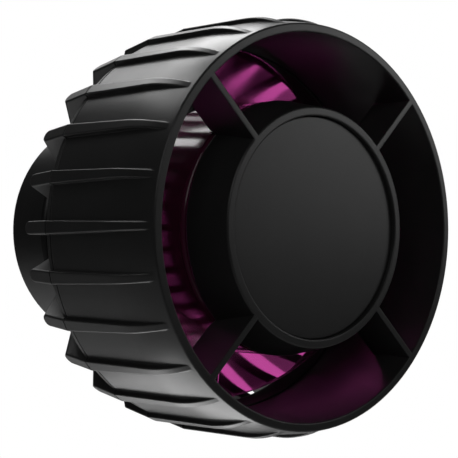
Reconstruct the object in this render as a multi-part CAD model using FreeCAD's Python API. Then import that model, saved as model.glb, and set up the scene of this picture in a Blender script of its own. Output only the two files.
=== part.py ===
import FreeCAD, Part
import math
import os

# Wave maker pump, wet side, millimetres.
# The pump's axis is Y. It blows towards -Y, and its rubber pad stands on the plane y = 0.
# Depths are measured backwards from the front rim, radii from the axis.
# A longer pump gets a longer motor; the ball joint and the holder keep their lengths.

# Overall
pump_length = 83.0
mount_length = 27.7
rim_radius = 43.0
motor_radius = 25.6
holder_radius = 29.7
head_length = pump_length - mount_length

# Gaps
turn_clearance = 0.3
seat_clearance = 0.05
running_clearance = 0.04
loose_clearance = 0.1
edge_break = 0.4
round_share = 0.2
cut_margin = 1.0

# Ribbed barrel
rim_width = 1.85
rim_edge = 0.2
front_break = 0.15
barrel_depth = 32.5
barrel_rear_radius = rim_radius + 3.3
barrel_swell_depth = 12.5
barrel_swell_radius = rim_radius + 2.1
barrel_swell_rise = 0.35
seam_length = 5.1
seam_depth = barrel_depth - seam_length
seam_radius = rim_radius - 1.2

# Ribs and the fins that carry them on
rib_count = 28
rib_front_depth = 0.6
rib_height = 1.1
rib_rise = 0.65
rib_front_width = 1.5
rib_rear_width = 2.8
rib_root = 0.6
rib_round = 0.25
fin_thickness = 2.9
fin_tip_radius = barrel_rear_radius
fin_tip_share = 0.433
fin_nose_round = 1.35
fin_edge_round = 0.4
fin_mouth_lead = 0.6
fin_inner_bow = 2.0
fin_root_bite = 2.4
fin_mouth_step = 1.2
fin_mouth_depth = 0.5

# Propeller
propeller_wall = 1.6
propeller_gap = 1.4
propeller_rear_radius = motor_radius + propeller_gap + propeller_wall
propeller_front_radius = propeller_rear_radius - 0.6
propeller_web = 2.2
propeller_edge_round = 0.8
blade_count = 3
blade_phase = 45.0
blade_sweep = 90.0
blade_camber = 3.6
blade_thickness = 1.8
blade_tip_gap = 0.9
lock_ring_radius = 7.6
lock_ring_thickness = 0.8
lock_ring_gap = 30.0

# Centre hub of the guard
hub_rear_radius = propeller_front_radius - 0.05
hub_radius = hub_rear_radius - 2.45
hub_depth = 10.2
hub_wall = 1.8
hub_web = 1.5
hub_ledge_width = 1.7
hub_ledge_thickness = 1.4
hub_boss_wall = 1.4
hub_boss_floor = 0.8
vane_count = 4
vane_first_angle = 45.0
vane_thickness = 1.3
vane_depth = 11.2
vane_relief = 1.2
cap_recess = 1.0
cap_thickness = 1.6
cap_skirt = 1.4
cap_skirt_wall = 0.9

# Stations of the rotor
propeller_depth = hub_depth + 1.0
propeller_rear_depth = barrel_depth - 0.3
blade_front_depth = propeller_depth + 2.3
blade_rear_depth = barrel_depth + 2.5
nose_depth = hub_depth + 0.6
rotor_front_depth = hub_depth + 6.8
rotor_rear_depth = head_length - 12.3

# Shaft and its seats
shaft_radius = 1.5
shaft_front_depth = 5.9
shaft_rear_depth = rotor_rear_depth + 5.2
bush_radius = 4.0
bush_wall = 0.8
bush_front_inset = 1.0
bush_rear_gap = 0.9
washer_radius = 3.4
washer_thickness = 0.8
bearing_radius = 3.0
bearing_length = 6.0

# Rotor
nose_radius = 5.0
nose_flat = 4.2
nose_groove = 0.5
shoulder_radius = 7.0
stator_build = 13.3
rotor_radius = motor_radius - stator_build
rotor_skin = 0.9
rotor_tube_radius = 4.9
passage_gap = 0.5

# Intake basket
duct_wall = 2.0
duct_inner_radius = rim_radius - 1.8
duct_outer_radius = duct_inner_radius + duct_wall
duct_front_flare = 0.3
duct_lip_length = 2.2
duct_lip_flare = 1.1
duct_lip_bow = 0.45
blade_tip_radius = duct_inner_radius - blade_tip_gap
basket_flange_depth = barrel_depth + turn_clearance
basket_flange_thickness = 1.6
basket_ring_length = 2.8
basket_ring_chamfer = 0.6
basket_ring_inner = motor_radius + 0.6
basket_ring_front = head_length - basket_ring_length
basket_ring_rear = head_length - seat_clearance
basket_ring_corner = 2.0
lug_count = 3
lug_first_angle = 30.0
lug_angle = 10.0
lug_slack = 1.0
lug_height = 1.3
lug_root = 0.5
lug_depth = seam_depth + 2.2
lug_length = 1.8
unlock_angle = 360.0 / rib_count

# Motor
well_radius = rotor_radius + 0.6
well_wall = 0.7
well_front_depth = hub_depth + 4.6
well_flange = 1.2
well_rear_depth = rotor_rear_depth + 3.5
well_floor = 1.3
boss_rear_depth = rotor_rear_depth + 7.0
boss_wall = 1.2
boss_floor = 1.0
motor_wall = 0.9
flange_radius = motor_radius + 6.2
flange_depth = head_length
flange_thickness = 2.0
core_front_depth = rotor_front_depth + 3.0
core_length = head_length - 35.3
yoke_width = 4.1
tooth_count = 6
tooth_width = 5.0
shoe_angle = 44.0
shoe_thickness = 1.4
bobbin_wall = 0.6
bobbin_standoff = 0.3
coil_build = 2.0
board_depth = head_length - 1.3
board_thickness = 1.4
chip_count = 3
chip_first_angle = 20.0
chip_radius = 12.0
chip_length = 4.0
chip_width = 3.0
chip_height = 1.0
plug_first_angle = 80.0
plug_radius = 18.0
plug_length = 2.0
plug_width = 6.0
plug_height = 0.8
resin_front_depth = rotor_rear_depth + 3.6

# Motor cover
cover_depth = head_length + 2.1
cover_rear_depth = head_length + 5.0
cover_rear_radius = motor_radius - 1.6
cover_inner_radius = motor_radius - 1.2
cover_plate = 1.8
cover_edge = 0.8
cover_bow = 0.8
seal_radius = motor_radius + 0.8
seal_section = 0.55
seal_groove_depth = 1.15
screw_count = 4
screw_first_angle = 45.0
screw_circle_radius = motor_radius + 3.0
screw_radius = 1.25
screw_head_radius = 2.3
screw_head_height = 1.2
screw_slot = 0.7
screw_front_depth = head_length - 1.9
screw_head_depth = head_length + 3.1

# Cord gland
gland_offset = holder_radius + 5.8
ear_radius = 5.0
lead_channel_radius = 1.1
gland_shank_radius = 2.9
gland_shank_length = 2.4
gland_collar_width = 7.4
gland_collar_length = 2.0
gland_nose_length = 5.4
gland_nose_radius = 3.5
gland_end_radius = 2.9
cord_bore_radius = 2.3

# Ball joint
ball_depth = head_length + 12.9
ball_radius = 6.2
ball_clearance = 0.05
neck_radius = 3.6
stud_flange_radius = 5.6
stud_flange_thickness = 1.0
stud_thread_radius = 3.0
stud_end_length = 0.4
stud_nut_width = 10.0
stud_nut_thickness = 2.5
liner_wall = 1.2
liner_radius = ball_radius + liner_wall
liner_front = 3.4
liner_rear = 4.0
liner_slot = 2.0
socket_wall = 2.1
socket_front_depth = ball_depth - 3.1
socket_rear_wall = 1.2
socket_flange_thickness = 2.0
nut_radius = liner_radius + socket_wall + 2.5
nut_edge = 0.6
nut_rear_inset = 0.2
nut_front_depth = ball_depth - 4.4
nut_lip_radius = ball_radius - 0.1
nut_notch_count = 8
nut_notch = 1.0
socket_screw_count = 3
socket_screw_circle = nut_radius + 3.2
socket_flange_radius = nut_radius + 6.0
socket_screw_radius = 1.2
socket_screw_head = 2.3
socket_screw_head_height = 1.6
socket_screw_bite = 1.3

# Magnet holder
holder_front_depth = ball_depth - 2.4
holder_rear_depth = pump_length - 1.2
holder_wall = 1.8
holder_front_wall = 2.0
holder_round = 1.2
magnet_front_depth = ball_depth + 3.8
magnet_inner_radius = 11.5
back_plate_thickness = 2.0
pad_radius = holder_radius - 1.7
pad_edge = 0.3

origin = FreeCAD.Vector(0, 0, 0)
axis_x = FreeCAD.Vector(1, 0, 0)
axis_y = FreeCAD.Vector(0, 1, 0)
axis_z = FreeCAD.Vector(0, 0, 1)


def at(depth):
    return depth - pump_length


def spot(radius, depth):
    return FreeCAD.Vector(radius, at(depth), 0)


def bowed(start, end, rise):
    """Point that lies rise outside the middle of a chord, both given as (radius, depth)."""
    along = math.hypot(end[0] - start[0], end[1] - start[1])
    middle_radius = (start[0] + end[0]) / 2 + rise * (end[1] - start[1]) / along
    middle_depth = (start[1] + end[1]) / 2 - rise * (end[0] - start[0]) / along
    return (middle_radius, middle_depth)


def section(*steps):
    """Face in the X-Y plane. A step is a corner (radius, depth), or an arc (via, end)."""
    edges = []
    here = steps[0]
    for step in steps[1:] + (steps[0],):
        if isinstance(step[0], tuple):
            via, there = step
            edges.append(Part.Arc(spot(*here), spot(*via), spot(*there)).toShape())
        else:
            there = step
            edges.append(Part.LineSegment(spot(*here), spot(*there)).toShape())
        here = there
    return Part.Face(Part.Wire(edges))


def lathe(*steps):
    return section(*steps).revolve(origin, axis_y, 360)


def ring(inner, outer, front, rear):
    return lathe((inner, front), (outer, front), (outer, rear), (inner, rear))


def rod(radius, front, rear):
    return Part.makeCylinder(radius, rear - front, FreeCAD.Vector(0, at(front), 0), axis_y)


def ball(radius):
    return Part.makeSphere(radius, FreeCAD.Vector(0, at(ball_depth), 0))


def plate(face, thickness):
    """Face in the X-Y plane thickened evenly to both sides."""
    face.translate(FreeCAD.Vector(0, 0, -thickness / 2))
    return face.extrude(FreeCAD.Vector(0, 0, thickness))


def turned(shape, angle):
    copy = shape.copy()
    copy.rotate(origin, axis_y, angle)
    return copy


def around(shape, count, first_angle=0.0):
    return [turned(shape, first_angle + index * 360.0 / count) for index in range(count)]


def block(radius_from, radius_to, front, rear, width):
    corner = FreeCAD.Vector(radius_from, at(front), -width / 2)
    return Part.makeBox(radius_to - radius_from, rear - front, width, corner)


def hexagon(width, front, rear):
    corners = []
    for index in range(6):
        angle = math.radians(60 * index)
        reach = width / math.sqrt(3)
        corners.append(FreeCAD.Vector(reach * math.cos(angle), at(front), reach * math.sin(angle)))
    face = Part.Face(Part.makePolygon(corners + corners[:1]))
    return face.extrude(FreeCAD.Vector(0, rear - front, 0))


def barrel_radius(depth):
    """Outer radius of the barrel between its ribs, behind the swell."""
    share = (depth - barrel_swell_depth) / (barrel_depth - barrel_swell_depth)
    return barrel_swell_radius + share * (barrel_rear_radius - barrel_swell_radius)


# Guard: barrel, ribs, vanes and hub in one moulding

def make_barrel():
    front = (rim_radius, rim_edge)
    swell = (barrel_swell_radius, barrel_swell_depth)
    inner = rim_radius - rim_width
    return lathe(
        (inner + front_break, 0.0),
        (rim_radius - rim_edge, 0.0),
        front,
        (bowed(front, swell, barrel_swell_rise), swell),
        (barrel_rear_radius, barrel_depth),
        (duct_outer_radius + turn_clearance, barrel_depth),
        (duct_outer_radius + turn_clearance, seam_depth),
        (seam_radius, seam_depth),
        (inner, front_break),
    )


def make_rib():
    """One rib in the X-Y plane: its foot sinks into the barrel and its width grows backwards."""
    front = (rim_radius, rib_front_depth)
    swell = (barrel_swell_radius + rib_height, barrel_swell_depth)
    crest_rear = (barrel_rear_radius + rib_height, barrel_depth)
    profile = section(
        (rim_radius - rib_root, rib_front_depth),
        front,
        (bowed(front, swell, rib_rise), swell),
        crest_rear,
        (barrel_rear_radius - rib_root, barrel_depth),
        (barrel_swell_radius - rib_root, barrel_swell_depth),
    )
    solid = plate(profile, rib_rear_width)
    low = rim_radius - 2 * rib_root
    reach = FreeCAD.Vector(barrel_rear_radius + 2 * rib_height - low, 0, 0)
    corners = [
        FreeCAD.Vector(low, at(0), -rib_front_width / 2),
        FreeCAD.Vector(low, at(0), rib_front_width / 2),
        FreeCAD.Vector(low, at(barrel_depth), rib_rear_width / 2),
        FreeCAD.Vector(low, at(barrel_depth), -rib_rear_width / 2),
    ]
    wedge = Part.Face(Part.makePolygon(corners + corners[:1])).extrude(reach)
    solid = solid.common(wedge).Solids[0]
    crest = [edge for edge in solid.Edges if is_crest(edge)]
    return solid.makeFillet(rib_round, crest)


def is_crest(edge):
    """True for the long outer edges of a rib, behind and along the swell."""
    start = edge.valueAt(edge.FirstParameter)
    end = edge.valueAt(edge.LastParameter)
    runs_along = abs(end.y - start.y) > barrel_swell_depth / 2
    rear = start if start.y > end.y else end
    floor = barrel_radius(rear.y + pump_length)
    return runs_along and rear.x > floor + rib_height / 2


def make_hub():
    """Flared hub: a rear web with the bush boss, and a ledge that the cap sits on."""
    inner = hub_radius - hub_wall
    ledge = cap_recess + cap_thickness + seat_clearance
    ledge_rear = ledge + hub_ledge_thickness
    web_front = hub_depth - hub_web
    slope = (hub_rear_radius - hub_radius) / hub_depth
    boss = bush_radius + hub_boss_wall
    boss_front = shaft_front_depth - bush_wall - hub_boss_floor
    return lathe(
        (0.0, boss_front),
        (boss, boss_front),
        (boss, web_front),
        (inner + slope * web_front, web_front),
        (inner + slope * ledge_rear, ledge_rear),
        (inner - hub_ledge_width, ledge_rear),
        (inner - hub_ledge_width, ledge),
        (inner, ledge),
        (inner, front_break),
        (inner + front_break, 0.0),
        (hub_radius - rim_edge, 0.0),
        (hub_radius + slope * rim_edge, rim_edge),
        (hub_rear_radius, hub_depth),
        (bush_radius, hub_depth),
        (bush_radius, shaft_front_depth - bush_wall),
        (0.0, shaft_front_depth - bush_wall),
    )


def make_vane():
    """Vane from the hub to the barrel; its rear edge steps forward over the propeller's face."""
    root = hub_radius - hub_wall / 2
    outboard = rim_radius - rim_width / 2
    profile = section(
        (root, 0.0),
        (outboard, 0.0),
        (outboard, vane_depth),
        (hub_rear_radius + vane_relief, vane_depth),
        (hub_rear_radius - vane_relief / 2, hub_depth),
        (root, hub_depth),
    )
    return plate(profile, vane_thickness)


def make_front_guard():
    barrel = make_barrel()
    shell = barrel.fuse(around(make_vane(), vane_count, vane_first_angle) + [make_hub()])
    shell = shell.fuse(around(make_rib(), rib_count))
    for groove in bayonet_grooves():
        shell = shell.cut(groove)
    return shell.removeSplitter()


def bayonet_sector(inner, outer, front, rear, start_angle, sweep):
    """Part of a ring, from start_angle through sweep degrees about Y."""
    face = Part.Face(Part.makePolygon([
        spot(inner, front), spot(outer, front), spot(outer, rear), spot(inner, rear), spot(inner, front),
    ]))
    face.rotate(origin, axis_y, start_angle)
    return face.revolve(origin, axis_y, sweep)


def bayonet_grooves():
    """An L-shaped groove for each lug: along the turn, then out of the barrel's rear."""
    inner = duct_outer_radius
    outer = duct_outer_radius + lug_height + turn_clearance
    front = lug_depth - turn_clearance
    rear = lug_depth + lug_length + turn_clearance
    grooves = []
    for index in range(lug_count):
        start = lug_first_angle + index * 360.0 / lug_count
        along = bayonet_sector(inner, outer, front, rear, start - unlock_angle - lug_slack,
                               lug_angle + unlock_angle + 2 * lug_slack)
        out = bayonet_sector(inner, outer, front, barrel_depth + cut_margin, start - unlock_angle - lug_slack,
                             lug_angle + 2 * lug_slack)
        grooves.append(along.fuse(out))
    return grooves


def make_hub_cap():
    inner = hub_radius - hub_wall - loose_clearance
    skirt = hub_radius - hub_wall - hub_ledge_width - seat_clearance
    rear = cap_recess + cap_thickness
    return lathe(
        (0.0, cap_recess),
        (inner - front_break, cap_recess),
        (inner, cap_recess + front_break),
        (inner, rear),
        (skirt, rear),
        (skirt, rear + cap_skirt),
        (skirt - cap_skirt_wall, rear + cap_skirt),
        (skirt - cap_skirt_wall, rear),
        (0.0, rear),
    )


def make_front_shaft_bush():
    outer = bush_radius - seat_clearance
    bore = shaft_radius + seat_clearance
    front = shaft_front_depth - bush_wall + seat_clearance
    return lathe(
        (0.0, front),
        (outer, front),
        (outer, hub_depth - bush_front_inset),
        (bore, hub_depth - bush_front_inset),
        (bore, shaft_front_depth - seat_clearance),
        (0.0, shaft_front_depth - seat_clearance),
    )


# Intake basket: duct ring, fins and back ring in one moulding

def make_duct_ring():
    front = seam_depth + turn_clearance
    lip = basket_flange_depth + basket_flange_thickness
    lip_middle = (duct_inner_radius - rim_edge, lip - duct_lip_length)
    lip_end = (duct_inner_radius + duct_lip_flare, lip)
    return lathe(
        (duct_inner_radius + duct_front_flare, front),
        (duct_outer_radius, front),
        (duct_outer_radius, basket_flange_depth),
        (barrel_rear_radius, basket_flange_depth),
        (barrel_rear_radius - rim_edge, lip),
        lip_end,
        (bowed(lip_end, lip_middle, duct_lip_bow), lip_middle),
    )


def make_back_ring():
    return lathe(
        (basket_ring_inner, basket_ring_front + basket_ring_chamfer),
        (basket_ring_inner + basket_ring_chamfer, basket_ring_front),
        (flange_radius - basket_ring_corner, basket_ring_front),
        (flange_radius + turn_clearance, basket_ring_rear - basket_ring_corner / 2),
        (flange_radius + turn_clearance, basket_ring_rear),
        (basket_ring_inner, basket_ring_rear),
    )


def make_fin():
    """One fin in the X-Y plane: it carries a rib on, then its tail slants in past the back ring."""
    foot_radius = flange_radius + turn_clearance
    foot_rear = basket_ring_rear - edge_break
    tail_depth = flange_depth + flange_thickness
    tip_depth = basket_flange_depth + fin_tip_share * (tail_depth - basket_flange_depth)
    mouth = (duct_inner_radius + fin_mouth_step, basket_flange_depth + fin_mouth_depth)
    behind_blades = (blade_tip_radius + blade_tip_gap, blade_rear_depth + blade_thickness + fin_mouth_lead)
    root = (flange_radius - fin_root_bite, basket_ring_front + fin_mouth_depth)
    profile = section(
        (barrel_rear_radius + rib_height, basket_flange_depth),
        (fin_tip_radius, tip_depth),
        (foot_radius, tail_depth),
        (foot_radius, foot_rear),
        (flange_radius - fin_root_bite, foot_rear),
        root,
        (bowed(behind_blades, root, fin_inner_bow), behind_blades),
        mouth,
    )
    solid = plate(profile, fin_thickness)
    tail = [edge for edge in solid.Edges if is_fin_tail(edge)]
    solid = solid.makeFillet(fin_nose_round, tail)
    crest = [edge for edge in solid.Edges if is_fin_crest(edge)]
    return solid.makeFillet(fin_edge_round, crest)


def is_fin_tail(edge):
    """True for the two long edges of a fin that slant in from its tip."""
    start = edge.valueAt(edge.FirstParameter)
    end = edge.valueAt(edge.LastParameter)
    in_side_face = abs(start.z - end.z) < seat_clearance
    slants = abs(start.x - end.x) > fin_thickness and abs(start.y - end.y) > fin_thickness
    return in_side_face and slants and abs(max(start.x, end.x) - fin_tip_radius) < seat_clearance


def is_fin_crest(edge):
    """True for the outline of a fin's outer face, sides and round nose."""
    start = edge.valueAt(edge.FirstParameter)
    end = edge.valueAt(edge.LastParameter)
    outside = min(start.x, end.x) > fin_tip_radius - fin_thickness
    behind_flange = max(start.y, end.y) > at(basket_flange_depth) + 2 * basket_flange_thickness
    return outside and behind_flange


def make_intake_basket():
    basket = make_duct_ring().fuse([make_back_ring()] + around(make_fin(), rib_count))
    lug = bayonet_sector(duct_outer_radius - lug_root, duct_outer_radius + lug_height, lug_depth,
                         lug_depth + lug_length, 0.0, lug_angle)
    basket = basket.fuse(around(lug, lug_count, lug_first_angle))
    hole = screw_hole(screw_radius, screw_front_depth - loose_clearance, basket_ring_rear + cut_margin)
    for drilled in around(hole, screw_count, screw_first_angle):
        basket = basket.cut(drilled)
    return basket.removeSplitter()


def screw_hole(radius, front, rear):
    """Hole for a cover screw, along Y at the screw circle."""
    start = FreeCAD.Vector(screw_circle_radius, at(front), 0)
    return Part.makeCylinder(radius + seat_clearance, rear - front, start, axis_y)


# Propeller and rotor

def blade_section(distance):
    """Closed outline of a blade where it crosses the plane x = distance."""
    middle_depth = (blade_front_depth + blade_rear_depth) / 2
    blade_run = blade_rear_depth - blade_front_depth
    half = blade_thickness / 2
    front_side = []
    rear_side = []
    for index in range(9):
        share = index / 8 - 0.5
        depth = middle_depth + share * blade_run + blade_camber * (1 - 4 * share ** 2)
        across = -distance * math.tan(math.radians(share * blade_sweep))
        front_side.append(FreeCAD.Vector(distance, at(depth - half), across))
        rear_side.append(FreeCAD.Vector(distance, at(depth + half), across))
    front_curve = Part.BSplineCurve()
    front_curve.interpolate(front_side)
    rear_curve = Part.BSplineCurve()
    rear_curve.interpolate(rear_side[::-1])
    far_tip = (front_side[-1] + rear_side[-1]) / 2 - axis_z * half
    near_tip = (front_side[0] + rear_side[0]) / 2 + axis_z * half
    far_end = Part.Arc(front_side[-1], far_tip, rear_side[-1])
    near_end = Part.Arc(rear_side[0], near_tip, front_side[0])
    return Part.Wire([curve.toShape() for curve in (front_curve, far_end, rear_curve, near_end)])


def make_blade():
    inside = propeller_front_radius * math.cos(math.radians(blade_sweep / 2)) * 0.9
    outside = blade_tip_radius * 1.1
    distances = (inside, (inside + outside) / 2, outside)
    blade = Part.makeLoft([blade_section(distance) for distance in distances], True)
    root = propeller_front_radius - propeller_wall / 2
    reach = 2 * blade_thickness
    return blade.common(ring(root, blade_tip_radius, blade_front_depth - reach, blade_rear_depth + reach))


def keyed_rod(radius, flat, front, rear):
    """Round rod with one flat, which faces +X."""
    flat_cut = block(flat, radius + cut_margin, front - cut_margin, rear + cut_margin, 3 * radius)
    return rod(radius, front, rear).cut(flat_cut)


def make_propeller():
    web_rear = propeller_depth + propeller_web
    corner = (propeller_front_radius - propeller_edge_round, propeller_depth)
    side = (propeller_front_radius, propeller_depth + propeller_edge_round)
    recess = propeller_depth + lock_ring_thickness + 2 * seat_clearance
    cup = lathe(
        (0.0, recess),
        (lock_ring_radius + seat_clearance, recess),
        (lock_ring_radius + seat_clearance, propeller_depth),
        corner,
        (bowed(corner, side, propeller_edge_round * round_share), side),
        (propeller_rear_radius, propeller_rear_depth),
        (propeller_rear_radius - propeller_wall, propeller_rear_depth),
        (propeller_front_radius - propeller_wall, web_rear),
        (0.0, web_rear),
    )
    cup = cup.fuse(around(make_blade(), blade_count, blade_phase))
    bore = keyed_rod(nose_radius + seat_clearance, nose_flat + seat_clearance,
                     propeller_depth - cut_margin, web_rear + cut_margin)
    return cup.cut(bore).removeSplitter()


def make_lock_ring():
    front = propeller_depth + seat_clearance
    rear = front + lock_ring_thickness
    whole = ring(nose_radius - nose_groove + seat_clearance, lock_ring_radius, front, rear)
    gap = bayonet_sector(nose_groove, lock_ring_radius + cut_margin, front - cut_margin, rear + cut_margin,
                         90 - lock_ring_gap / 2, lock_ring_gap)
    return whole.cut(gap)


def make_rotor_sleeve():
    nose_rear = propeller_depth + propeller_web + seat_clearance
    nose = keyed_rod(nose_radius, nose_flat, nose_depth, nose_rear)
    groove = ring(nose_radius - nose_groove, nose_radius + cut_margin, propeller_depth,
                  propeller_depth + lock_ring_thickness + 2 * seat_clearance)
    body = lathe(
        (0.0, nose_rear),
        (shoulder_radius, nose_rear),
        (shoulder_radius, rotor_front_depth),
        (rotor_radius, rotor_front_depth),
        (rotor_radius, rotor_front_depth + rotor_skin),
        (rotor_tube_radius, rotor_front_depth + rotor_skin),
        (rotor_tube_radius, rotor_rear_depth),
        (0.0, rotor_rear_depth),
    )
    sleeve = body.fuse(nose).cut(groove)
    passage = rod(shaft_radius + passage_gap, nose_depth - cut_margin, rotor_rear_depth + cut_margin)
    seat = bearing_radius + seat_clearance
    front_seat = rod(seat, nose_depth - cut_margin, nose_depth + bearing_length)
    rear_seat = rod(seat, rotor_rear_depth - bearing_length, rotor_rear_depth + cut_margin)
    return sleeve.cut(passage.fuse([front_seat, rear_seat])).removeSplitter()


def make_rotor_magnet():
    front = rotor_front_depth + rotor_skin + seat_clearance
    rear = rotor_rear_depth - rotor_skin - seat_clearance
    return ring(rotor_tube_radius + seat_clearance, rotor_radius - rotor_skin - seat_clearance, front, rear)


def make_rotor_jacket():
    front = rotor_front_depth + rotor_skin + seat_clearance / 2
    inner = rotor_radius - rotor_skin
    return lathe(
        (inner, front),
        (rotor_radius, front),
        (rotor_radius, rotor_rear_depth),
        (rotor_tube_radius + seat_clearance, rotor_rear_depth),
        (rotor_tube_radius + seat_clearance, rotor_rear_depth - rotor_skin),
        (inner, rotor_rear_depth - rotor_skin),
    )


def make_rotor_bearing(front):
    return ring(shaft_radius + running_clearance, bearing_radius, front, front + bearing_length)


def make_thrust_washer(front):
    return ring(shaft_radius + seat_clearance, washer_radius, front, front + washer_thickness)


# Motor

def make_rotor_well():
    outer = well_radius + well_wall
    boss = bush_radius + boss_wall
    floor = well_rear_depth - well_floor
    boss_end = boss_rear_depth - boss_floor
    return lathe(
        (well_radius, well_front_depth),
        (motor_radius, well_front_depth),
        (motor_radius, well_front_depth + well_flange),
        (outer, well_front_depth + well_flange),
        (outer, well_rear_depth),
        (boss, well_rear_depth),
        (boss, boss_rear_depth),
        (0.0, boss_rear_depth),
        (0.0, boss_end),
        (bush_radius, boss_end),
        (bush_radius, floor),
        (well_radius, floor),
    )


def make_rear_shaft_bush():
    outer = bush_radius - seat_clearance
    bore = shaft_radius + seat_clearance
    rear = boss_rear_depth - boss_floor - seat_clearance
    front = rotor_rear_depth + turn_clearance + washer_thickness + bush_rear_gap
    return lathe(
        (bore, front),
        (outer, front),
        (outer, rear),
        (0.0, rear),
        (0.0, shaft_rear_depth + seat_clearance),
        (bore, shaft_rear_depth + seat_clearance),
    )


def make_stator_core():
    core_rear = core_front_depth + core_length
    outer = motor_radius - motor_wall - loose_clearance
    yoke_inner = outer - yoke_width
    bore = well_radius + well_wall + loose_clearance
    yoke = ring(yoke_inner, outer, core_front_depth, core_rear)
    tooth = block(bore + shoe_thickness / 2, yoke_inner + yoke_width / 4,
                  core_front_depth, core_rear, tooth_width)
    shoe = bayonet_sector(bore, bore + shoe_thickness, core_front_depth, core_rear,
                          -shoe_angle / 2, shoe_angle)
    return yoke.fuse(around(tooth.fuse(shoe), tooth_count)).removeSplitter()


def coil_frame(radius_from, radius_to, inner_margin, outer_margin):
    """Rectangular frame round a tooth, between two radii, by its margins from the tooth."""
    front = core_front_depth
    rear = core_front_depth + core_length
    outside = block(radius_from, radius_to, front - outer_margin, rear + outer_margin,
                    tooth_width + 2 * outer_margin)
    inside = block(radius_from - cut_margin, radius_to + cut_margin,
                   front - inner_margin, rear + inner_margin, tooth_width + 2 * inner_margin)
    return outside.cut(inside)


def coil_span():
    """Radii between which a bobbin lies, clear of the shoe and of the yoke's curve."""
    start = well_radius + well_wall + loose_clearance + shoe_thickness + bobbin_standoff
    yoke_inner = motor_radius - motor_wall - loose_clearance - yoke_width
    half_width = tooth_width / 2 + loose_clearance + bobbin_wall + coil_build
    end = math.sqrt(yoke_inner ** 2 - half_width ** 2) - loose_clearance
    return start, end


def make_coil_bobbins():
    start, end = coil_span()
    margin = loose_clearance
    outer_margin = margin + bobbin_wall + coil_build
    tube = coil_frame(start, end, margin, margin + bobbin_wall)
    inner_cheek = coil_frame(start, start + bobbin_wall, margin, outer_margin)
    outer_cheek = coil_frame(end - bobbin_wall, end, margin, outer_margin)
    bobbin = tube.fuse([inner_cheek, outer_cheek]).removeSplitter()
    return Part.makeCompound(around(bobbin, tooth_count))


def make_stator_coils():
    start, end = coil_span()
    inner_margin = loose_clearance + bobbin_wall + seat_clearance
    coil = coil_frame(start + bobbin_wall + seat_clearance, end - bobbin_wall - seat_clearance,
                      inner_margin, inner_margin + coil_build - 2 * seat_clearance)
    return Part.makeCompound(around(coil, tooth_count))


def make_resin_fill():
    return ring(bush_radius + boss_wall + seat_clearance, motor_radius - motor_wall - loose_clearance,
                resin_front_depth, board_depth - seat_clearance)


def make_sensor_board():
    outer = motor_radius - motor_wall - 2 * loose_clearance
    face = board_depth + board_thickness
    board = rod(outer, board_depth, face)
    chip = block(chip_radius, chip_radius + chip_length, board_depth, face + chip_height, chip_width)
    plug = block(plug_radius, plug_radius + plug_length, board_depth, face + plug_height, plug_width)
    parts = around(chip, chip_count, chip_first_angle) + around(plug, chip_count, plug_first_angle)
    return board.fuse(parts).removeSplitter()


def make_motor_shell():
    inner = motor_radius - motor_wall
    front = well_front_depth + well_flange + seat_clearance
    rear = flange_depth + flange_thickness
    groove = seal_section + loose_clearance
    shell = lathe(
        (inner, front),
        (motor_radius, front),
        (motor_radius, flange_depth),
        (flange_radius, flange_depth),
        (flange_radius, rear),
        (seal_radius + groove, rear),
        (seal_radius + groove, rear - seal_groove_depth),
        (seal_radius - groove, rear - seal_groove_depth),
        (seal_radius - groove, rear),
        (inner, rear),
    )
    hole = screw_hole(screw_radius, flange_depth - cut_margin, rear + cut_margin)
    for drilled in around(hole, screw_count, screw_first_angle):
        shell = shell.cut(drilled)
    return shell.removeSplitter()


def make_cover_seal():
    middle = FreeCAD.Vector(0, at(cover_depth - seal_section - seat_clearance / 2), 0)
    return Part.makeTorus(seal_radius, seal_section, middle, axis_y)


def make_motor_cover():
    """Lid with an ear on +X, which carries the cord gland behind the fins."""
    hollow = cover_rear_depth - cover_plate
    outer = flange_radius - edge_break
    corner = (outer, cover_depth + cover_edge)
    rear = (cover_rear_radius, cover_rear_depth)
    cover = lathe(
        (0.0, hollow),
        (cover_inner_radius, hollow),
        (cover_inner_radius, cover_depth),
        (outer, cover_depth),
        corner,
        (bowed(corner, rear, cover_bow), rear),
        (0.0, cover_rear_depth),
    )
    start = FreeCAD.Vector(gland_offset, at(cover_depth), 0)
    ear_length = cover_rear_depth - cover_depth
    ear = Part.makeCylinder(ear_radius, ear_length, start, axis_y)
    bridge = block(cover_rear_radius, gland_offset, cover_depth, cover_rear_depth, 2 * ear_radius)
    cover = cover.fuse([ear, bridge])
    shank = screw_hole(screw_radius, cover_depth - cut_margin, screw_head_depth + cut_margin)
    head = screw_hole(screw_head_radius, screw_head_depth, cover_rear_depth + cut_margin)
    for drilled in around(shank.fuse(head), screw_count, screw_first_angle):
        cover = cover.cut(drilled)
    shank_front = cover_rear_depth - gland_shank_length - loose_clearance
    rear_face = cover_rear_depth + cut_margin
    cover = cover.cut(gland_rod(gland_shank_radius + seat_clearance, shank_front, rear_face))
    channel_depth = (cover_depth + cover_rear_depth) / 2
    channel_start = FreeCAD.Vector(cover_inner_radius - cut_margin, at(channel_depth), 0)
    channel_length = gland_offset - cover_inner_radius + cut_margin
    cover = cover.cut(Part.makeCylinder(lead_channel_radius, channel_length, channel_start, axis_x))
    cover = cover.cut(rod(stud_thread_radius + seat_clearance, hollow - cut_margin, rear_face))
    return cover.removeSplitter()


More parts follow.
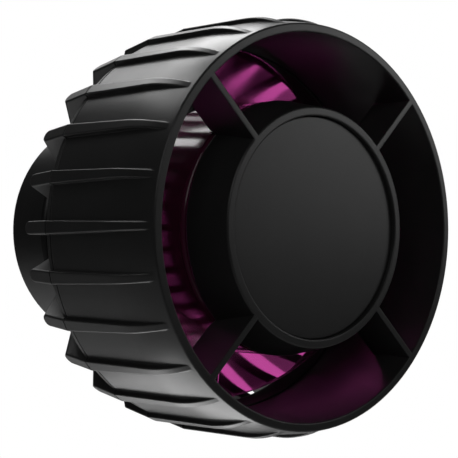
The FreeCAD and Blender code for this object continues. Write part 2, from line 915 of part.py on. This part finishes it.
def make_cover_screws():
    start = FreeCAD.Vector(screw_circle_radius, at(screw_front_depth), 0)
    shank_length = screw_head_depth + screw_head_height / 2 - screw_front_depth
    shank = Part.makeCylinder(screw_radius, shank_length, start, axis_y)
    head_start = FreeCAD.Vector(screw_circle_radius, at(screw_head_depth + seat_clearance), 0)
    head = Part.makeCylinder(screw_head_radius, screw_head_height, head_start, axis_y)
    slot_depth = screw_head_depth + screw_head_height / 2
    slot = block(screw_circle_radius - screw_head_radius, screw_circle_radius + screw_head_radius,
                 slot_depth, slot_depth + screw_head_height, screw_slot)
    cross = slot.copy()
    cross.rotate(FreeCAD.Vector(screw_circle_radius, 0, 0), axis_y, 90)
    screw = shank.fuse(head).cut(slot.fuse(cross)).removeSplitter()
    return Part.makeCompound(around(screw, screw_count, screw_first_angle))


def gland_rod(radius, front, rear):
    return Part.makeCylinder(radius, rear - front, FreeCAD.Vector(gland_offset, at(front), 0), axis_y)


def make_cable_gland():
    """Gland along the axis, beside the holder: a shank in the ear, a hexagonal collar and a nose."""
    shank_front = cover_rear_depth - gland_shank_length
    collar_front = cover_rear_depth + seat_clearance
    nose_front = collar_front + gland_collar_length
    collar = hexagon(gland_collar_width, collar_front, nose_front)
    collar.translate(FreeCAD.Vector(gland_offset, 0, 0))
    nose = Part.makeCone(gland_nose_radius, gland_end_radius, gland_nose_length,
                         FreeCAD.Vector(gland_offset, at(nose_front), 0), axis_y)
    gland = gland_rod(gland_shank_radius, shank_front, collar_front).fuse([collar, nose])
    bore = gland_rod(cord_bore_radius, shank_front - cut_margin, nose_front + gland_nose_length + cut_margin)
    return gland.cut(bore).removeSplitter()


# Ball joint

def make_ball_stud():
    flange_front = cover_rear_depth + seat_clearance
    flange_rear = flange_front + stud_flange_thickness
    thread_front = cover_rear_depth - cover_plate - stud_nut_thickness - stud_end_length
    thread = rod(stud_thread_radius, thread_front, flange_front)
    flange = rod(stud_flange_radius, flange_front, flange_rear)
    neck = rod(neck_radius, flange_rear, ball_depth)
    return ball(ball_radius).fuse([neck, flange, thread]).removeSplitter()


def make_stud_nut():
    rear = cover_rear_depth - cover_plate - seat_clearance
    front = rear - stud_nut_thickness
    hole = rod(stud_thread_radius + seat_clearance, front - cut_margin, rear + cut_margin)
    return hexagon(stud_nut_width, front, rear).cut(hole)


def make_ball_liner():
    whole = ball(liner_radius).cut(ball(ball_radius + ball_clearance))
    keep = rod(liner_radius + cut_margin, ball_depth - liner_front, ball_depth + liner_rear)
    slot = block(0, liner_radius + cut_margin, ball_depth - liner_radius, ball_depth + liner_radius,
                 liner_slot)
    return whole.common(keep).cut(turned(slot, -90)).removeSplitter()


def make_ball_socket():
    cavity = liner_radius + ball_clearance
    outer = cavity + socket_wall
    wall_rear = holder_front_depth + holder_front_wall + seat_clearance
    flange_rear = wall_rear + socket_flange_thickness
    rear = ball_depth + cavity + socket_rear_wall
    body = lathe(
        (0.0, ball_depth),
        (cavity, ball_depth),
        (cavity, socket_front_depth),
        (outer, socket_front_depth),
        (outer, wall_rear),
        (socket_flange_radius, wall_rear),
        (socket_flange_radius, flange_rear),
        (outer, flange_rear),
        (outer, rear),
        (0.0, rear),
    )
    body = body.cut(ball(cavity))
    hole = socket_screw_hole(wall_rear - cut_margin, flange_rear + cut_margin)
    for drilled in around(hole, socket_screw_count):
        body = body.cut(drilled)
    return body.removeSplitter()


def socket_screw_hole(front, rear):
    start = FreeCAD.Vector(socket_screw_circle, at(front), 0)
    return Part.makeCylinder(socket_screw_radius + seat_clearance, rear - front, start, axis_y)


def make_socket_nut():
    rear = holder_front_depth + holder_front_wall - nut_rear_inset
    bore = liner_radius + ball_clearance + socket_wall + seat_clearance
    lip_rear = socket_front_depth - seat_clearance
    nut = lathe(
        (nut_lip_radius, nut_front_depth),
        (nut_radius - nut_edge, nut_front_depth),
        (nut_radius, nut_front_depth + nut_edge),
        (nut_radius, rear),
        (bore, rear),
        (bore, lip_rear),
        (nut_lip_radius, lip_rear),
    )
    nut = nut.cut(ball(liner_radius + 2 * ball_clearance))
    notch = block(nut_radius - nut_notch, nut_radius + cut_margin, nut_front_depth - cut_margin,
                  rear + cut_margin, 2 * nut_notch)
    for cutter in around(notch, nut_notch_count):
        nut = nut.cut(cutter)
    return nut.removeSplitter()


def make_socket_screws():
    head_front = holder_front_depth + holder_front_wall + socket_flange_thickness + 2 * seat_clearance
    tip = holder_front_depth + holder_front_wall - socket_screw_bite
    start = FreeCAD.Vector(socket_screw_circle, at(tip), 0)
    shank = Part.makeCylinder(socket_screw_radius, head_front + seat_clearance - tip, start, axis_y)
    head = Part.makeCylinder(socket_screw_head, socket_screw_head_height,
                             FreeCAD.Vector(socket_screw_circle, at(head_front), 0), axis_y)
    screw = shank.fuse(head).removeSplitter()
    return Part.makeCompound(around(screw, socket_screw_count))


# Magnet holder

def make_magnet_cup():
    inner = holder_radius - holder_wall
    corner = (holder_radius - holder_round, holder_front_depth)
    side = (holder_radius, holder_front_depth + holder_round)
    inner_front = holder_front_depth + holder_front_wall
    cup = lathe(
        (nut_radius + turn_clearance, holder_front_depth),
        corner,
        (bowed(corner, side, holder_round * round_share), side),
        (holder_radius, holder_rear_depth - edge_break),
        (holder_radius - edge_break, holder_rear_depth),
        (inner, holder_rear_depth),
        (inner, inner_front),
        (nut_radius + turn_clearance, inner_front),
    )
    bite = socket_screw_hole(inner_front - socket_screw_bite - seat_clearance, inner_front + cut_margin)
    for drilled in around(bite, socket_screw_count):
        cup = cup.cut(drilled)
    return cup.removeSplitter()


def make_holder_magnet():
    rear = holder_rear_depth - back_plate_thickness - seat_clearance
    return ring(magnet_inner_radius, holder_radius - holder_wall - turn_clearance, magnet_front_depth, rear)


def make_holder_back_plate():
    front = holder_rear_depth - back_plate_thickness
    return rod(holder_radius - holder_wall - loose_clearance, front, holder_rear_depth)


def make_holder_pad():
    front = holder_rear_depth + seat_clearance
    return lathe(
        (0.0, front),
        (pad_radius, front),
        (pad_radius, pump_length - pad_edge),
        (pad_radius - pad_edge, pump_length),
        (0.0, pump_length),
    )


def all_parts():
    front_washer = hub_depth - bush_front_inset + turn_clearance
    rear_washer = rotor_rear_depth + turn_clearance
    return {
        "front_guard": make_front_guard(),
        "hub_cap": make_hub_cap(),
        "front_shaft_bush": make_front_shaft_bush(),
        "ceramic_shaft": rod(shaft_radius, shaft_front_depth, shaft_rear_depth),
        "front_thrust_washer": make_thrust_washer(front_washer),
        "rear_thrust_washer": make_thrust_washer(rear_washer),
        "propeller": make_propeller(),
        "propeller_lock_ring": make_lock_ring(),
        "rotor_sleeve": make_rotor_sleeve(),
        "rotor_magnet": make_rotor_magnet(),
        "rotor_jacket": make_rotor_jacket(),
        "front_rotor_bearing": make_rotor_bearing(nose_depth),
        "rear_rotor_bearing": make_rotor_bearing(rotor_rear_depth - bearing_length),
        "intake_basket": make_intake_basket(),
        "rotor_well": make_rotor_well(),
        "rear_shaft_bush": make_rear_shaft_bush(),
        "stator_core": make_stator_core(),
        "coil_bobbins": make_coil_bobbins(),
        "stator_coils": make_stator_coils(),
        "resin_fill": make_resin_fill(),
        "sensor_board": make_sensor_board(),
        "motor_shell": make_motor_shell(),
        "cover_seal": make_cover_seal(),
        "motor_cover": make_motor_cover(),
        "cover_screws": make_cover_screws(),
        "cable_gland": make_cable_gland(),
        "ball_stud": make_ball_stud(),
        "stud_nut": make_stud_nut(),
        "ball_liner": make_ball_liner(),
        "ball_socket": make_ball_socket(),
        "socket_nut": make_socket_nut(),
        "socket_screws": make_socket_screws(),
        "magnet_cup": make_magnet_cup(),
        "holder_magnet": make_holder_magnet(),
        "holder_back_plate": make_holder_back_plate(),
        "holder_pad": make_holder_pad(),
    }


os.makedirs("parts", exist_ok=True)
for name, shape in all_parts().items():
    shape.exportStep(os.path.join("parts", name + ".step"))
    box = shape.BoundBox
    print(name, len(shape.Solids), "solids, valid", shape.isValid(), "volume", round(shape.Volume, 1),
          "x", round(box.XMin, 2), round(box.XMax, 2), "y", round(box.YMin, 2), round(box.YMax, 2))
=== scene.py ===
import bpy
import math
from mathutils import Matrix, Vector


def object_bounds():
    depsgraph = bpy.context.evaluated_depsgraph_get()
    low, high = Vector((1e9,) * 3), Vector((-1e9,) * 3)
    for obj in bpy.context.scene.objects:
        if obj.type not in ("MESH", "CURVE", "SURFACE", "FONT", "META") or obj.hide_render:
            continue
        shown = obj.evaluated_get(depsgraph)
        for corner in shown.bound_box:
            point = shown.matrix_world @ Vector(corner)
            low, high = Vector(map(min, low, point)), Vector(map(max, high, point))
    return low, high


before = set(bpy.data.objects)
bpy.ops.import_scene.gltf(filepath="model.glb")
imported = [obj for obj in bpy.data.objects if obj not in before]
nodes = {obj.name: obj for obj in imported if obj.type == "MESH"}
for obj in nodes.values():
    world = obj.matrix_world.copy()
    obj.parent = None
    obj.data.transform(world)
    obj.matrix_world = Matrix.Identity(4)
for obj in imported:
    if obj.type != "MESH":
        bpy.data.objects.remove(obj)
cadLow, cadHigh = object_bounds()
print("frame loaded:", len(nodes), "parts")


# small helpers for building materials

def newFinish(name):
    finish = bpy.data.materials.new(name)
    finish.use_nodes = True
    tree = finish.node_tree
    return finish, tree, tree.nodes["Principled BSDF"]


def addNode(tree, kind, **settings):
    node = tree.nodes.new(kind)
    for key, value in settings.items():
        setattr(node, key, value)
    return node


def partCoords(tree, stretch=(1, 1, 1)):
    # object coordinates in millimetres, so a scale of 1 is one lump per millimetre
    coords = addNode(tree, "ShaderNodeTexCoord")
    mapping = addNode(tree, "ShaderNodeMapping")
    mapping.inputs["Scale"].default_value = [1000 * s for s in stretch]
    tree.links.new(coords.outputs["Object"], mapping.inputs["Vector"])
    return mapping.outputs["Vector"]


def noise(tree, where, scale, detail):
    texture = addNode(tree, "ShaderNodeTexNoise")
    texture.inputs["Scale"].default_value = scale
    texture.inputs["Detail"].default_value = detail
    tree.links.new(where, texture.inputs["Vector"])
    return texture.outputs["Fac"]


def spread(tree, value, low, high):
    # stretches a noise value, mostly 0.3 to 0.7, to low..high
    ramp = addNode(tree, "ShaderNodeMapRange")
    ramp.inputs["From Min"].default_value = 0.3
    ramp.inputs["From Max"].default_value = 0.7
    ramp.inputs["To Min"].default_value = low
    ramp.inputs["To Max"].default_value = high
    tree.links.new(value, ramp.inputs["Value"])
    return ramp.outputs["Result"]


def blendColours(tree, factor, first, second):
    mix = addNode(tree, "ShaderNodeMix", data_type="RGBA")
    mix.inputs["A"].default_value = (*first, 1)
    mix.inputs["B"].default_value = (*second, 1)
    tree.links.new(factor, mix.inputs["Factor"])
    return mix.outputs["Result"]


def addBump(tree, shader, height, depth):
    # depth in metres
    bump = addNode(tree, "ShaderNodeBump")
    bump.inputs["Distance"].default_value = depth
    tree.links.new(height, bump.inputs["Height"])
    tree.links.new(bump.outputs["Normal"], shader.inputs["Normal"])
    return bump


def dress(finish, *names):
    for name in names:
        nodes[name].data.materials.clear()
        nodes[name].data.materials.append(finish)


# moulded plastics, rubber

moulding = {"toneScale": 0.11, "glossScale": 0.35, "ior": 1.5, "edgeSamples": 6}


def mouldedFinish(name, look):
    finish, tree, shader = newFinish(name)
    where = partCoords(tree)
    tone = spread(tree, noise(tree, where, moulding["toneScale"], 3), 0, 1)
    tree.links.new(blendColours(tree, tone, look["dark"], look["light"]), shader.inputs["Base Color"])
    gloss = spread(tree, noise(tree, where, moulding["glossScale"], 3), look["smooth"], look["rough"])
    tree.links.new(gloss, shader.inputs["Roughness"])
    shader.inputs["IOR"].default_value = moulding["ior"]
    bump = addBump(tree, shader, noise(tree, where, look["grain"], 2), look["grainDepth"])
    if "edge" in look:
        # moulded edges catch the light as if slightly rounded
        edge = addNode(tree, "ShaderNodeBevel", samples=moulding["edgeSamples"])
        edge.inputs["Radius"].default_value = look["edge"]
        tree.links.new(edge.outputs["Normal"], bump.inputs["Normal"])
    return finish


guardPlastic = {
    "dark": (0.028, 0.028, 0.0282), "light": (0.032, 0.032, 0.0322),
    "smooth": 0.29, "rough": 0.31, "grain": 5.0, "grainDepth": 0.000001, "edge": 0.0004,
}
motorPlastic = {
    "dark": (0.018, 0.018, 0.0182), "light": (0.023, 0.023, 0.0232),
    "smooth": 0.3, "rough": 0.35, "grain": 4.0, "grainDepth": 0.000002,
}
holderPlastic = {
    "dark": (0.011, 0.011, 0.0112), "light": (0.014, 0.014, 0.0142),
    "smooth": 0.28, "rough": 0.31, "grain": 4.0, "grainDepth": 0.000001,
}
jointPlastic = {
    "dark": (0.008, 0.008, 0.0085), "light": (0.012, 0.012, 0.0125),
    "smooth": 0.36, "rough": 0.46, "grain": 3.0, "grainDepth": 0.00001,
}
rotorPlastic = {
    "dark": (0.012, 0.01, 0.011), "light": (0.018, 0.015, 0.016),
    "smooth": 0.3, "rough": 0.4, "grain": 3.0, "grainDepth": 0.000008,
}
bobbinPlastic = {
    "dark": (0.6, 0.58, 0.5), "light": (0.7, 0.69, 0.63),
    "smooth": 0.42, "rough": 0.52, "grain": 2.5, "grainDepth": 0.00001,
}
softRubber = {
    "dark": (0.012, 0.012, 0.012), "light": (0.02, 0.02, 0.02),
    "smooth": 0.62, "rough": 0.78, "grain": 2.2, "grainDepth": 0.00003,
}
sealRubber = {
    "dark": (0.2, 0.03, 0.02), "light": (0.28, 0.05, 0.03),
    "smooth": 0.5, "rough": 0.62, "grain": 2.2, "grainDepth": 0.00002,
}
guardFinish = mouldedFinish("guardPlastic", guardPlastic)
motorFinish = mouldedFinish("motorPlastic", motorPlastic)
holderFinish = mouldedFinish("holderPlastic", holderPlastic)
jointFinish = mouldedFinish("jointPlastic", jointPlastic)
rotorFinish = mouldedFinish("rotorPlastic", rotorPlastic)
bobbinFinish = mouldedFinish("bobbinPlastic", bobbinPlastic)
rubberFinish = mouldedFinish("softRubber", softRubber)
sealFinish = mouldedFinish("sealRubber", sealRubber)
dress(guardFinish, "front_guard", "hub_cap", "intake_basket")
dress(motorFinish, "motor_shell", "motor_cover", "rotor_well")
dress(holderFinish, "magnet_cup")
dress(jointFinish, "ball_socket", "socket_nut", "ball_stud")
dress(rotorFinish, "propeller_lock_ring", "rotor_sleeve", "rotor_jacket")
dress(bobbinFinish, "coil_bobbins")
dress(rubberFinish, "front_shaft_bush", "rear_shaft_bush", "cable_gland", "ball_liner")
dress(sealFinish, "cover_seal")
print("moulded plastic and rubber dressed")


# propeller

propellerLook = {
    "tint": (0.54, 0.07, 0.33), "clear": 0.97, "smooth": 0.11, "rough": 0.13, "ior": 1.49,
    "glossScale": 0.3, "hubRadius": 28.0, "bladeRadius": 30.0,
    "hubTint": (0.21, 0.036, 0.1), "hubClear": 0.45,
}


def propellerFinish(look):
    finish, tree, shader = newFinish("propellerPlastic")
    where = partCoords(tree)
    # the colour lies deeper in the thick hub than in the thin blades
    flat = addNode(tree, "ShaderNodeVectorMath", operation="MULTIPLY")
    flat.inputs[1].default_value = (1, 0, 1)
    tree.links.new(where, flat.inputs[0])
    radius = addNode(tree, "ShaderNodeVectorMath", operation="LENGTH")
    tree.links.new(flat.outputs["Vector"], radius.inputs[0])
    outward = addNode(tree, "ShaderNodeMapRange")
    outward.inputs["From Min"].default_value = look["hubRadius"]
    outward.inputs["From Max"].default_value = look["bladeRadius"]
    tree.links.new(radius.outputs["Value"], outward.inputs["Value"])
    tree.links.new(blendColours(tree, outward.outputs["Result"], look["hubTint"], look["tint"]),
                   shader.inputs["Base Color"])
    clear = addNode(tree, "ShaderNodeMapRange")
    clear.inputs["To Min"].default_value = look["hubClear"]
    clear.inputs["To Max"].default_value = look["clear"]
    tree.links.new(outward.outputs["Result"], clear.inputs["Value"])
    tree.links.new(clear.outputs["Result"], shader.inputs["Transmission Weight"])
    shader.inputs["IOR"].default_value = look["ior"]
    gloss = spread(tree, noise(tree, where, look["glossScale"], 2), look["smooth"], look["rough"])
    tree.links.new(gloss, shader.inputs["Roughness"])
    return finish


dress(propellerFinish(propellerLook), "propeller")
print("propeller dressed")


# metals, ceramics, copper, resin and the board

def groundFinish(name, look):
    # metal or ceramic with fine marks drawn out along one axis
    finish, tree, shader = newFinish(name)
    lines = noise(tree, partCoords(tree, look["drawn"]), 1.0, 3)
    tone = spread(tree, noise(tree, partCoords(tree), 0.4, 2), 0, 1)
    tree.links.new(blendColours(tree, tone, look["dark"], look["light"]), shader.inputs["Base Color"])
    tree.links.new(spread(tree, lines, look["smooth"], look["rough"]), shader.inputs["Roughness"])
    shader.inputs["Metallic"].default_value = look["metal"]
    addBump(tree, shader, lines, look["markDepth"])
    return finish


screwSteel = {
    "dark": (0.52, 0.52, 0.52), "light": (0.62, 0.62, 0.61), "metal": 1.0,
    "smooth": 0.2, "rough": 0.34, "drawn": (6, 0.6, 6), "markDepth": 0.00001,
}
plateSteel = {
    "dark": (0.44, 0.44, 0.45), "light": (0.54, 0.54, 0.55), "metal": 1.0,
    "smooth": 0.28, "rough": 0.4, "drawn": (3, 3, 0.3), "markDepth": 0.00001,
}
sheetSteel = {
    "dark": (0.3, 0.3, 0.31), "light": (0.42, 0.42, 0.43), "metal": 1.0,
    "smooth": 0.35, "rough": 0.5, "drawn": (0.15, 2.0, 0.15), "markDepth": 0.00008,
}
whiteCeramic = {
    "dark": (0.8, 0.79, 0.75), "light": (0.86, 0.85, 0.82), "metal": 0.0,
    "smooth": 0.12, "rough": 0.2, "drawn": (8, 1, 8), "markDepth": 0.000002,
}
greyCarbon = {
    "dark": (0.03, 0.03, 0.032), "light": (0.05, 0.05, 0.053), "metal": 0.0,
    "smooth": 0.3, "rough": 0.42, "drawn": (5, 5, 5), "markDepth": 0.000008,
}
ferrite = {
    "dark": (0.04, 0.04, 0.043), "light": (0.07, 0.07, 0.073), "metal": 0.0,
    "smooth": 0.5, "rough": 0.7, "drawn": (3, 3, 3), "markDepth": 0.00003,
}
windingCopper = {
    "dark": (0.5, 0.16, 0.05), "light": (0.66, 0.24, 0.09), "metal": 1.0,
    "smooth": 0.2, "rough": 0.35, "drawn": (3.5, 0.4, 0.4), "markDepth": 0.0001,
}
castResin = {
    "dark": (0.012, 0.012, 0.014), "light": (0.02, 0.02, 0.022), "metal": 0.0,
    "smooth": 0.12, "rough": 0.25, "drawn": (0.3, 0.3, 0.3), "markDepth": 0.00005,
}
boardGreen = {
    "dark": (0.008, 0.07, 0.03), "light": (0.012, 0.11, 0.045), "metal": 0.0,
    "smooth": 0.28, "rough": 0.4, "drawn": (0.6, 2, 0.6), "markDepth": 0.00002,
}
screwFinish = groundFinish("screwSteel", screwSteel)
dress(screwFinish, "cover_screws", "socket_screws", "stud_nut")
dress(groundFinish("plateSteel", plateSteel), "holder_back_plate")
dress(groundFinish("sheetSteel", sheetSteel), "stator_core")
dress(groundFinish("whiteCeramic", whiteCeramic),
      "ceramic_shaft", "front_thrust_washer", "rear_thrust_washer")
dress(groundFinish("greyCarbon", greyCarbon), "front_rotor_bearing", "rear_rotor_bearing")
dress(groundFinish("ferrite", ferrite), "rotor_magnet", "holder_magnet")
dress(groundFinish("windingCopper", windingCopper), "stator_coils")
dress(groundFinish("castResin", castResin), "resin_fill")
dress(groundFinish("boardGreen", boardGreen), "sensor_board")
print("metals and ceramics dressed")


# rubber pad with a square grip pattern

padLook = {
    "pitch": 2.0, "depth": 0.0001, "rough": 0.7, "toneScale": 0.2,
    "dark": (0.012, 0.012, 0.012), "light": (0.018, 0.018, 0.018),
}


def padFinish(look):
    finish, tree, shader = newFinish("padRubber")
    where = partCoords(tree)
    tone = spread(tree, noise(tree, where, look["toneScale"], 3), 0, 1)
    tree.links.new(blendColours(tree, tone, look["dark"], look["light"]), shader.inputs["Base Color"])
    shader.inputs["Roughness"].default_value = look["rough"]
    heights = []
    for axis in ("X", "Z"):
        wave = addNode(tree, "ShaderNodeTexWave", bands_direction=axis)
        wave.inputs["Scale"].default_value = math.pi / 10 / look["pitch"]
        tree.links.new(where, wave.inputs["Vector"])
        heights.append(wave.outputs["Fac"])
    lower = addNode(tree, "ShaderNodeMath", operation="MINIMUM")
    tree.links.new(heights[0], lower.inputs[0])
    tree.links.new(heights[1], lower.inputs[1])
    addBump(tree, shader, lower.outputs["Value"], look["depth"])
    return finish


dress(padFinish(padLook), "holder_pad")
print("pad dressed")


# floor, light and camera

def paleFinish(name, look):
    # plain pale floor that reads as white paper behind the object
    finish, tree, shader = newFinish(name)
    shader.inputs["Base Color"].default_value = (look["tone"], look["tone"], look["tone"], 1)
    shader.inputs["Roughness"].default_value = look["rough"]
    glow = addNode(tree, "ShaderNodeEmission")
    glow.inputs["Strength"].default_value = 1.0
    seen = seenDirectly(tree, look["mirrored"])
    tree.links.new(seen, addMix(tree, shader.outputs["BSDF"], glow.outputs["Emission"]))
    return finish


def addMix(tree, first, second):
    mix = addNode(tree, "ShaderNodeMixShader")
    tree.links.new(first, mix.inputs[1])
    tree.links.new(second, mix.inputs[2])
    tree.links.new(mix.outputs["Shader"], tree.nodes["Material Output"].inputs["Surface"])
    return mix.inputs["Fac"]


def seenDirectly(tree, mirrored):
    # 1 for what the camera and clear plastic see, a share of it for glossy reflections
    path = addNode(tree, "ShaderNodeLightPath")
    clear = addNode(tree, "ShaderNodeMath", operation="MAXIMUM")
    tree.links.new(path.outputs["Is Camera Ray"], clear.inputs[0])
    tree.links.new(path.outputs["Is Transmission Ray"], clear.inputs[1])
    gloss = addNode(tree, "ShaderNodeMath", operation="MULTIPLY")
    gloss.inputs[1].default_value = mirrored
    tree.links.new(path.outputs["Is Glossy Ray"], gloss.inputs[0])
    either = addNode(tree, "ShaderNodeMath", operation="MAXIMUM")
    tree.links.new(clear.outputs["Value"], either.inputs[0])
    tree.links.new(gloss.outputs["Value"], either.inputs[1])
    return either.outputs["Value"]


floorLook = {"height": -0.32, "half": 3.0, "tone": 0.8, "rough": 0.9, "mirrored": 0.01}
bpy.ops.mesh.primitive_grid_add(x_subdivisions=2, y_subdivisions=2, size=2 * floorLook["half"],
                                location=(0, 0, floorLook["height"]))
floor = bpy.context.object
floor.name = "studioFloor"
floor.data.materials.append(paleFinish("studioFloor", floorLook))

roomLook = {"dim": (0.015, 0.015, 0.015, 1), "pale": (1, 1, 1, 1), "mirrored": 0.01}
world = bpy.data.worlds.new("studioRoom")
bpy.context.scene.world = world
world.use_nodes = True
room = world.node_tree
background = room.nodes["Background"]
background.inputs["Color"].default_value = roomLook["dim"]
background.inputs["Strength"].default_value = 1.0
white = addNode(room, "ShaderNodeBackground")
white.inputs["Color"].default_value = roomLook["pale"]
mixWorld = addNode(room, "ShaderNodeMixShader")
room.links.new(seenDirectly(room, roomLook["mirrored"]), mixWorld.inputs["Fac"])
room.links.new(background.outputs["Background"], mixWorld.inputs[1])
room.links.new(white.outputs["Background"], mixWorld.inputs[2])
room.links.new(mixWorld.outputs["Shader"], room.nodes["World Output"].inputs["Surface"])


rimRadius = 0.043
pumpLength = 0.083
cameraLook = {
    "place": (-3.4464 * rimRadius, -pumpLength - 3.4774 * rimRadius, -0.0707 * rimRadius),
    "turn": 39.459, "lens": 77.866, "sensor": 36.0, "shift": 0.0285, "nearest": 0.005,
}
camera = bpy.data.objects.new("studioCamera", bpy.data.cameras.new("studioCamera"))
bpy.context.scene.collection.objects.link(camera)
camera.data.sensor_width = cameraLook["sensor"]
camera.data.lens = cameraLook["lens"]
camera.data.shift_y = cameraLook["shift"]
camera.data.clip_start = cameraLook["nearest"]
camera.location = cameraLook["place"]
turn = math.radians(cameraLook["turn"])
ahead = Vector((math.sin(turn), math.cos(turn), 0))
across = Vector((math.cos(turn), -math.sin(turn), 0))
upward = Vector((0, 0, 1))
camera.rotation_euler = ahead.to_track_quat("-Z", "Y").to_euler()
bpy.context.scene.camera = camera


facings = {"down": -upward, "up": upward, "left": -across, "ahead": ahead, "back": -ahead}


def softPanel(name, look):
    # flat soft box; place is metres across, ahead and up from the middle of the pump
    light = bpy.data.lights.new(name, "AREA")
    light.shape = "RECTANGLE"
    light.size, light.size_y = look["size"]
    light.energy = math.pi * look["size"][0] * look["size"][1] * look["glow"]
    panel = bpy.data.objects.new(name, light)
    bpy.context.scene.collection.objects.link(panel)
    side, deep, high = look["place"]
    panel.location = (cadLow + cadHigh) / 2 + across * side + ahead * deep + upward * high
    facing = facings[look["faces"]]
    edge = ahead if look["faces"] == "left" else across
    third = (-facing).cross(edge)
    panel.rotation_euler = Matrix((edge, third, -facing)).transposed().to_euler()
    panel.visible_camera = False


softPanels = {
    "ceilingNear": {"place": (-0.3375, 0.125, 0.5), "size": (0.225, 0.25), "faces": "down", "glow": 3.0},
    "ceilingLeft": {"place": (-0.3375, 0.375, 0.5), "size": (0.225, 0.25), "faces": "down", "glow": 3.4},
    "ceilingMiddle": {"place": (-0.1125, 0.4, 0.5), "size": (0.225, 0.35), "faces": "down", "glow": 5.6},
    "underside": {"place": (-0.11, 0.125, -0.29), "size": (0.22, 0.23), "faces": "up", "glow": 2.8},
    "rightUpper": {"place": (0.8, 0.0, 0.215), "size": (0.43, 0.15), "faces": "left", "glow": 2.0},
    "rightLower": {"place": (0.8, 0.0, 0.07), "size": (0.43, 0.14), "faces": "left", "glow": 0.8},
    "front": {"place": (0.0, -0.8, 0.5), "size": (0.8, 0.58), "faces": "ahead", "glow": 0.73},
    "behind": {"place": (-0.1, 0.9, 0.5), "size": (0.9, 0.5), "faces": "back", "glow": 0.7},
}
for name, look in softPanels.items():
    softPanel(name, look)

bpy.context.scene.view_settings.view_transform = "Standard"
print("floor, lights and camera placed")
